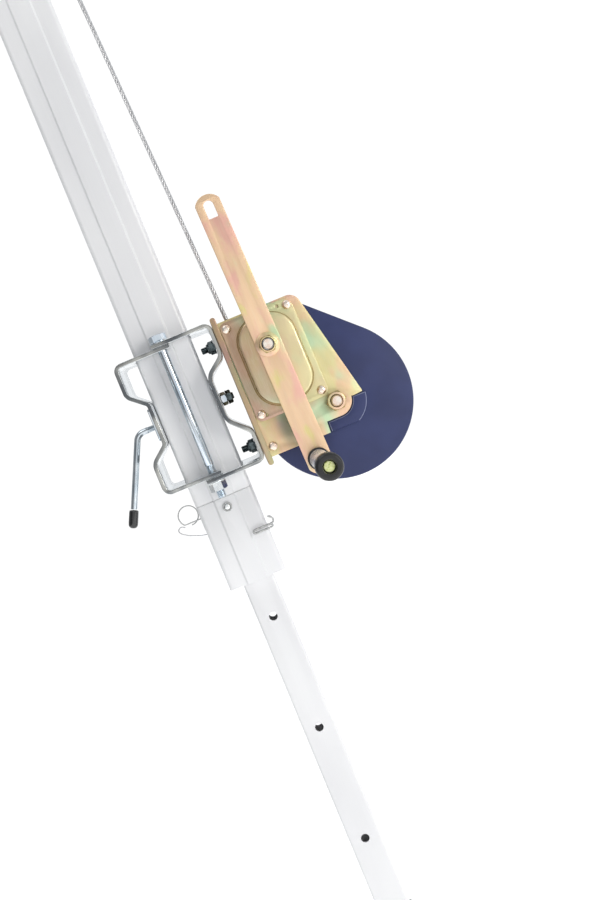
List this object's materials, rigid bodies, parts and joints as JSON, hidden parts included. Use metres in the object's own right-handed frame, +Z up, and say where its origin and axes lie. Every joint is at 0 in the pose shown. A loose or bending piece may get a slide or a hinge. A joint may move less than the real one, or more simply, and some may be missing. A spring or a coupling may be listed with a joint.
{
  "type": "leg mounted hand winch",
  "caption": "Hand cranked wire rope winch on a clamp bracket, fixed to a telescopic aluminium leg with a locking pin and a row of pin holes.",
  "frame": {"origin": "middle of the flat head end of the leg, which is what the leg hangs from or is fixed by", "axes": "+Z up along the leg, +X from the leg towards the winch, -Y the side of the crank"},
  "size_m": [0.3402, 0.2653, 1.165],
  "materials": {
    "aluminium": "silver anodised extrusion, very light and matt",
    "zinc": "bright zinc plated steel",
    "chromate": "yellow chromate zinc plating, iridescent from tan to pink and green",
    "blue_plastic": "dark blue moulded plastic with a fine grain",
    "black_plastic": "black moulded plastic",
    "black_steel": "blackened steel",
    "steel": "oiled machined steel",
    "wire_rope": "stranded galvanised steel wire rope",
    "rubber": "black rubber",
    "brake_lining": "brown pressed brake lining"
  },
  "bodies": {
    "leg": {"outer_rail": "aluminium", "rail_top_plug": "black_plastic", "guide_collar": "aluminium", "inner_leg": "aluminium", "rubber_foot": "rubber", "pin_ring": "zinc", "pin_lanyard": "wire_rope", "wire_clip": "black_steel"},
    "pin": {"locking_pin": "zinc"},
    "bracket": {"clamp_half_left": "zinc", "clamp_half_right": "zinc", "front_clamp_bolt": "zinc", "rear_clamp_bolt": "zinc", "front_clamp_nut": "zinc", "rear_clamp_nut": "zinc", "screw_plate": "zinc", "waist_stud": "zinc", "waist_nut": "zinc", "waist_lock_nut": "black_steel", "upper_winch_bolt": "zinc", "lower_winch_bolt": "zinc", "upper_winch_nut": "black_steel", "lower_winch_nut": "black_steel", "winch_housing": "chromate", "gear_cover": "chromate", "cover_rivet_1": "chromate", "cover_rivet_2": "chromate", "cover_rivet_3": "chromate", "cover_rivet_4": "chromate", "plate_rivet": "chromate", "drum_cover": "blue_plastic", "drum_axle": "chromate", "axle_nut": "chromate", "ratchet_wheel": "steel", "pawl_pin": "steel", "pawl_spring": "steel", "wire_rope": "wire_rope", "rope_ferrule": "zinc", "rope_thimble": "zinc"},
    "pad": {"pressure_pad": "zinc"},
    "screw": {"clamp_screw": "zinc", "screw_cap": "black_plastic"},
    "drum": {"drum": "steel", "drum_gear": "steel", "rope_winding": "wire_rope"},
    "crank": {"crank_shaft": "steel", "pinion": "steel", "inner_friction_disc": "brake_lining", "outer_friction_disc": "brake_lining", "brake_hub": "steel", "crank_bar": "chromate", "crank_nut": "chromate", "grip_stud": "chromate"},
    "grip": {"grip_inner_flange": "black_plastic", "grip_sleeve": "zinc", "grip_outer_flange": "black_plastic"},
    "pawl": {"pawl": "steel"}
  },
  "joints": [
    {"name": "pin_pull", "type": "slide", "parent": "leg", "child": "pin", "axis": [0, -1, 0], "range_m": [0, 0.06]},
    {"name": "clamp_slide", "type": "slide", "parent": "leg", "child": "bracket", "axis": [0, 0, 1], "range_m": [0, 0.2]},
    {"name": "pad_advance", "type": "slide", "parent": "bracket", "child": "pad", "axis": [-1, 0, 0], "range_m": [0, 0.00187]},
    {"name": "screw_turn", "type": "hinge", "parent": "pad", "child": "screw", "pos_m": [0, 0, -0.5241], "axis": [1, 0, 0], "range_deg": [-540, 0]},
    {"name": "drum_spin", "type": "hinge", "parent": "bracket", "child": "drum", "pos_m": [0.1487, 0, -0.5708], "axis": [0, 1, 0], "continuous": true},
    {"name": "crank_spin", "type": "hinge", "parent": "bracket", "child": "crank", "pos_m": [0.10391, 0, -0.48987], "axis": [0, 1, 0], "continuous": true},
    {"name": "grip_spin", "type": "hinge", "parent": "crank", "child": "grip", "pos_m": [0.10787, 0, -0.61811], "axis": [0, 1, 0], "continuous": true},
    {"name": "pawl_lift", "type": "hinge", "parent": "bracket", "child": "pawl", "pos_m": [0.09361, 0, -0.51602], "axis": [0, 1, 0], "range_deg": [0, 15], "stiffness_Nm_per_rad": 0.05, "springref_deg": -11.46}
  ],
  "couplings": [
    {"joint": "crank_spin", "follows": "drum_spin", "ratio": -4.2857},
    {"joint": "pad_advance", "follows": "screw_turn", "m_per_rad": -0.00019894}
  ]
}
